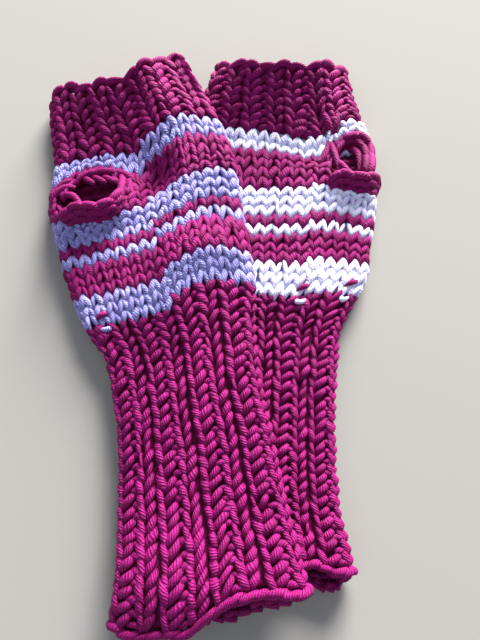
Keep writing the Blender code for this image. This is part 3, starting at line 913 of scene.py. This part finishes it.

# %% [markdown]
# ## The cloth behind the stitches
# Between the legs one sees the back of the yarn. A thin tube stands for it: a cylinder that is cut
# into rows, split along the slit, moved onto the form of the mitt and given a thickness. Its
# material repeats the stripes from the same row numbers, and has a fine relief of its own. Its
# colours are darker than the yarn's: painted shade for the gaps between the legs, darkest in the
# grooves of its relief.

# %% The stripes of the cloth as a material
def cloth(name, mitt, contrast_groove_shade, contrast):
    """The back of the yarn: crimson, with the stripes in these two colours, all painted darker than
    the yarn as shade between the legs.
    """
    material, start, shader = new_material(name)
    turn, row = uv_directions(start, "knit")
    climb = (start.maths("FRACT", turn - mitt.jog / RING + 1.0) - 0.5) * mitt.climb
    level = row - climb
    in_stripes = [(level > first) * (level < end) for first, end in STRIPES]
    striped = in_stripes[0] + in_stripes[1] + in_stripes[2] + in_stripes[3]
    columns = start.maths("SINE", turn * (2 * math.pi * STITCHES))
    bumps = columns * 0.35 + start.maths("SINE", row * (2 * math.pi)) * 0.65
    place = start.node("ShaderNodeTexCoord", {}, {}, "Object")
    fibre = start.node("ShaderNodeTexNoise", {}, {"Vector": place, "Scale": 1500.0, "Detail": 3.0})
    # Colours of the back are darker than the yarn, as painted shade between the legs, and darker
    # still in the grooves of the bumps; the fibre noise is random tone.
    tone = bumps * 0.25 + fibre * 0.8
    plain = tone.mix((0.05, 0.001, 0.018, 1), (0.22, 0.004, 0.075, 1))
    colour = striped.mix(plain, tone.mix((*contrast_groove_shade, 1), (*contrast, 1)))
    relief = {"Strength": 0.8, "Distance": 0.0008, "Height": tone}
    feed(shader, {
        "Base Color": colour,
        "Normal": start.node("ShaderNodeBump", {}, relief),
        "Roughness": 0.85,
        "Specular IOR Level": 0.2,
    })
    return material


# %% Cut a cylinder into rows and split it
LEVELS = 2 * ROWS


def cloth_tube(mitt):
    """A cylinder with two levels to each row, split along the slit."""
    bpy.ops.object.select_all(action="DESELECT")
    bpy.ops.mesh.primitive_cylinder_add(vertices=96, radius=1, depth=1, end_fill_type="NOTHING")
    tube = bpy.context.object
    tube.name = tube.data.name = f"{mitt.name}_cloth"
    mesh = tube.data
    bpy.ops.object.mode_set(mode="EDIT")
    bpy.ops.mesh.select_mode(type="EDGE")
    bpy.ops.mesh.select_all(action="DESELECT")
    bpy.ops.object.mode_set(mode="OBJECT")
    for edge in mesh.edges:
        ends = [mesh.vertices[i].co.z for i in edge.vertices]
        edge.select = abs(ends[0] - ends[1]) > 0.5
    bpy.ops.object.mode_set(mode="EDIT")
    bpy.ops.mesh.subdivide(number_cuts=LEVELS - 1)
    bpy.ops.mesh.select_all(action="DESELECT")
    bpy.ops.object.mode_set(mode="OBJECT")
    points = np.array([vertex.co for vertex in mesh.vertices])
    ring = np.arctan2(points[:, 1], points[:, 0]) / (2 * math.pi) % 1 * RING
    at_row = np.round((points[:, 2] + 0.5) * LEVELS) == 2 * SLIT_ROW
    inside = at_row & (ring > mitt.slit.first + 0.1) & (ring < mitt.slit.last - 0.1)
    at_slit = at_row & (ring > mitt.slit.first - 0.1) & (ring < mitt.slit.last + 0.1)
    for edge in mesh.edges:
        first, second = edge.vertices
        edge.select = bool(at_slit[first] and at_slit[second] and (inside[first] or inside[second]))
    bpy.ops.object.mode_set(mode="EDIT")
    bpy.ops.mesh.edge_split(type="EDGE")
    bpy.ops.object.mode_set(mode="OBJECT")
    return tube


# %% Wrap it round the form
CLOTH_OUT = -1.5  # how far out from the face of the mitt the cloth lies
CLOTH_THICKNESS = 1.2


def wrap_cloth(mitt, tube, material):
    """Moves a cylinder onto the form of the mitt and gives it a UV map and a thickness."""
    mesh = tube.data
    points = np.array([vertex.co for vertex in mesh.vertices])
    turn = np.arctan2(points[:, 1], points[:, 0]) / (2 * math.pi) % 1
    row = (points[:, 2] + 0.5) * ROWS
    above = row > SLIT_ROW + 0.1
    for face in mesh.polygons:  # the upper one of the two edges at the split belongs above
        if (face.center.z + 0.5) * ROWS > SLIT_ROW:
            above[list(face.vertices)] = True
    uv = mesh.uv_layers.new(name="knit")
    for face in mesh.polygons:
        turns = turn[list(face.vertices)]
        if np.ptp(turns) > 0.5:
            turns = np.where(turns < 0.5, turns + 1, turns)
        for corner, vertex, place in zip(face.loop_indices, face.vertices, turns):
            uv.data[corner].uv = (place, row[vertex])
    along = part_the_slit(mitt, turn, row_place(mitt, row), above)
    placed = knit_points(mitt, turn, along, CLOTH_OUT) * MM
    mesh.vertices.foreach_set("co", placed.ravel())
    mesh.update()
    bpy.ops.object.select_all(action="DESELECT")
    tube.select_set(True)
    bpy.context.view_layer.objects.active = tube
    bpy.ops.object.mode_set(mode="EDIT")
    bpy.ops.mesh.select_all(action="SELECT")
    bpy.ops.mesh.normals_make_consistent(inside=False)
    bpy.ops.object.mode_set(mode="OBJECT")
    thicken = tube.modifiers.new("thickness", "SOLIDIFY")
    thicken.thickness = CLOTH_THICKNESS * MM
    thicken.offset = -1
    bpy.ops.object.modifier_apply(modifier=thicken.name)
    mesh.materials.clear()
    mesh.materials.append(material)
    mesh.shade_smooth()
    print(tube.name, "is", [round(side * 1000, 1) for side in tube.dimensions], "mm")


# %% Both cloths; the solids of cuff, hand and top are hidden and all pieces hang from the root
# the back colours are darker than the yarns: painted shade between the legs
SHADED_BACK_COLOURS = {  # the contrast colour in the grooves and on the bumps
    "left": ((0.06, 0.05, 0.15), (0.20, 0.18, 0.42)),
    "right": ((0.30, 0.28, 0.38), (0.6, 0.58, 0.68)),
}
for mitt in (LEFT, RIGHT):
    dark, colour = SHADED_BACK_COLOURS[mitt.name]
    tube = cloth_tube(mitt)
    wrap_cloth(mitt, tube, cloth(f"{mitt.name}_cloth_back", mitt, dark, colour))
    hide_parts(f"{mitt.name}_cuff", f"{mitt.name}_hand", f"{mitt.name}_top_rib")
    for piece in [tube, *pieces[mitt.name]]:
        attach(piece, "root")
    mitt.rows[-1][1] * MM

# %% [markdown]
# ## Table, light and camera
# The mitts lie on a plain pale floor. A large soft light stands low at the upper right and a weak
# one fills the shadows. The camera looks down steeply, as the photographer did.

# %% The floor
bpy.ops.object.select_all(action="DESELECT")
bpy.ops.mesh.primitive_plane_add(size=3, location=(0, 0, -0.0002))
floor = bpy.context.object
floor.name = "floor"
floor_paint, _, floor_shader = new_material("floor_paint")
paint = {"Base Color": (0.30, 0.287, 0.262, 1), "Roughness": 0.9, "Specular IOR Level": 0.1}
feed(floor_shader, paint)
floor.data.materials.append(floor_paint)
print("the floor is", round(floor.dimensions.x, 1), "m wide")

# %% The lights
LIGHT_SIZE = 1.2


def soft_light(name, place, power, colour):
    """A square area light that shines at the middle of the table."""
    lamp = bpy.data.lights.new(name, "AREA")
    lamp.size = LIGHT_SIZE
    lamp.energy = power
    lamp.color = colour
    stand = bpy.data.objects.new(name, lamp)
    stand.location = place
    stand.rotation_euler = (-stand.location).to_track_quat("-Z", "Y").to_euler()
    bpy.context.scene.collection.objects.link(stand)


soft_light("window", (0.75, 2.32, 0.86), 370, (1.0, 0.99, 0.98))
soft_light("room", (-0.5, -0.5, 0.9), 2, (0.92, 0.95, 1.0))
world = bpy.data.worlds.new("room_light")
world.use_nodes = True
feed(world.node_tree.nodes["Background"], {"Color": (0.76, 0.83, 1.0, 1), "Strength": 0.56})
bpy.context.scene.world = world
print("lights:", [lamp.name for lamp in bpy.data.lights])

# %% The camera
distance, elevation = 0.207, math.radians(75)
camera = bpy.data.objects.new("camera", bpy.data.cameras.new("camera"))
camera.data.lens = 30.4
camera.data.sensor_width = 36
camera.location = (
    CENTRE[0] * MM,
    CENTRE[1] * MM - distance * math.cos(elevation),
    distance * math.sin(elevation),
)
camera.rotation_euler = (math.pi / 2 - elevation, 0, 0)
camera.data.clip_start = 0.01
bpy.context.scene.collection.objects.link(camera)
bpy.context.scene.camera = camera
bpy.context.scene.view_settings.view_transform = "Standard"
print("the camera looks down at", round(math.degrees(elevation)), "degrees")
